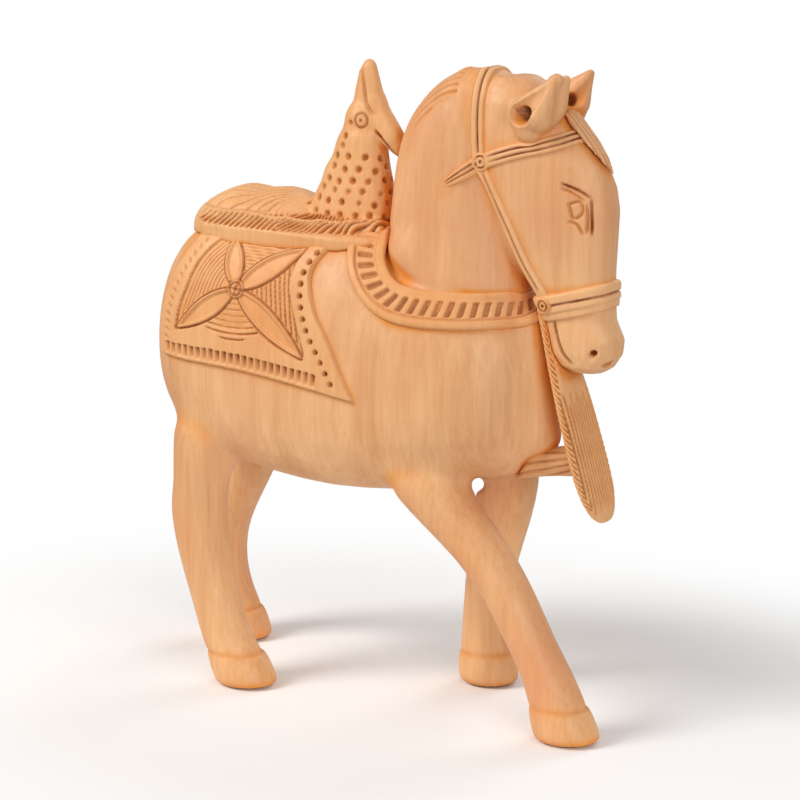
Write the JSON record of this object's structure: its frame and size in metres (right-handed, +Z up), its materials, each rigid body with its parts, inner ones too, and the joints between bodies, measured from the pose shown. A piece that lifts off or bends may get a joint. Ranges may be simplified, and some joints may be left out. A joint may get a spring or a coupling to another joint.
{
  "type": "carved wooden horse figurine",
  "caption": "Carved wooden horse in walking stance, with bridle, notched collar, flowered saddle blanket, throat plume and a peacock on its back; stands free on flat soles.",
  "frame": {"origin": "on the table plane, under the centre of the figure's bounding box", "axes": "+X towards the horse's nose, +Y towards the horse's left flank, +Z up"},
  "size_m": [0.178, 0.064, 0.2068],
  "materials": {
    "torso": "hand-rubbed satin wood",
    "neck": "hand-rubbed satin wood",
    "head": "hand-rubbed satin wood",
    "right_ear": "hand-rubbed satin wood",
    "left_ear": "hand-rubbed satin wood",
    "forelock": "satin wood, browner in the carved cuts",
    "mane": "satin wood, browner in the carved cuts",
    "tail": "satin wood, browner in the carved cuts",
    "right_foreleg": "hand-rubbed satin wood",
    "left_foreleg": "hand-rubbed satin wood",
    "right_hind_leg": "hand-rubbed satin wood",
    "left_hind_leg": "hand-rubbed satin wood",
    "right_fore_hoof": "hand-rubbed satin wood with facets at the coronet",
    "left_fore_hoof": "hand-rubbed satin wood with facets at the coronet",
    "right_hind_hoof": "hand-rubbed satin wood with facets at the coronet",
    "left_hind_hoof": "hand-rubbed satin wood with facets at the coronet",
    "right_blanket": "satin wood, browner in the carved cuts",
    "left_blanket": "satin wood, browner in the carved cuts",
    "right_flower": "satin wood, browner in the carved cuts",
    "left_flower": "satin wood, browner in the carved cuts",
    "saddle_ledge": "satin wood, browner in the carved cuts",
    "collar": "satin wood, browner in the carved cuts",
    "crown_strap": "hand-rubbed satin wood",
    "browband": "hand-rubbed satin wood",
    "right_cheek_strap": "hand-rubbed satin wood",
    "left_cheek_strap": "hand-rubbed satin wood",
    "noseband": "hand-rubbed satin wood",
    "right_throat_strap": "hand-rubbed satin wood",
    "left_throat_strap": "hand-rubbed satin wood",
    "right_bridle_boss": "hand-rubbed satin wood",
    "left_bridle_boss": "hand-rubbed satin wood",
    "right_nose_boss": "hand-rubbed satin wood",
    "left_nose_boss": "hand-rubbed satin wood",
    "throat_plume": "satin wood, browner in the carved cuts",
    "plume_strut": "satin wood, browner in the carved cuts",
    "peacock_body": "satin wood, browner in the carved cuts",
    "peacock_head": "satin wood, browner in the carved cuts",
    "peacock_beak": "satin wood, browner in the carved cuts",
    "peacock_crest": "satin wood, browner in the carved cuts",
    "peacock_train": "satin wood, browner in the carved cuts"
  },
  "bodies": {
    "root": {"torso": "torso", "neck": "neck", "head": "head", "right_ear": "right_ear", "left_ear": "left_ear", "forelock": "forelock", "mane": "mane", "tail": "tail", "right_foreleg": "right_foreleg", "left_foreleg": "left_foreleg", "right_hind_leg": "right_hind_leg", "left_hind_leg": "left_hind_leg", "right_fore_hoof": "right_fore_hoof", "left_fore_hoof": "left_fore_hoof", "right_hind_hoof": "right_hind_hoof", "left_hind_hoof": "left_hind_hoof", "right_blanket": "right_blanket", "left_blanket": "left_blanket", "right_flower": "right_flower", "left_flower": "left_flower", "saddle_ledge": "saddle_ledge", "collar": "collar", "crown_strap": "crown_strap", "browband": "browband", "right_cheek_strap": "right_cheek_strap", "left_cheek_strap": "left_cheek_strap", "noseband": "noseband", "right_throat_strap": "right_throat_strap", "left_throat_strap": "left_throat_strap", "right_bridle_boss": "right_bridle_boss", "left_bridle_boss": "left_bridle_boss", "right_nose_boss": "right_nose_boss", "left_nose_boss": "left_nose_boss", "throat_plume": "throat_plume", "plume_strut": "plume_strut", "peacock_body": "peacock_body", "peacock_head": "peacock_head", "peacock_beak": "peacock_beak", "peacock_crest": "peacock_crest", "peacock_train": "peacock_train"}
  },
  "joints": []
}
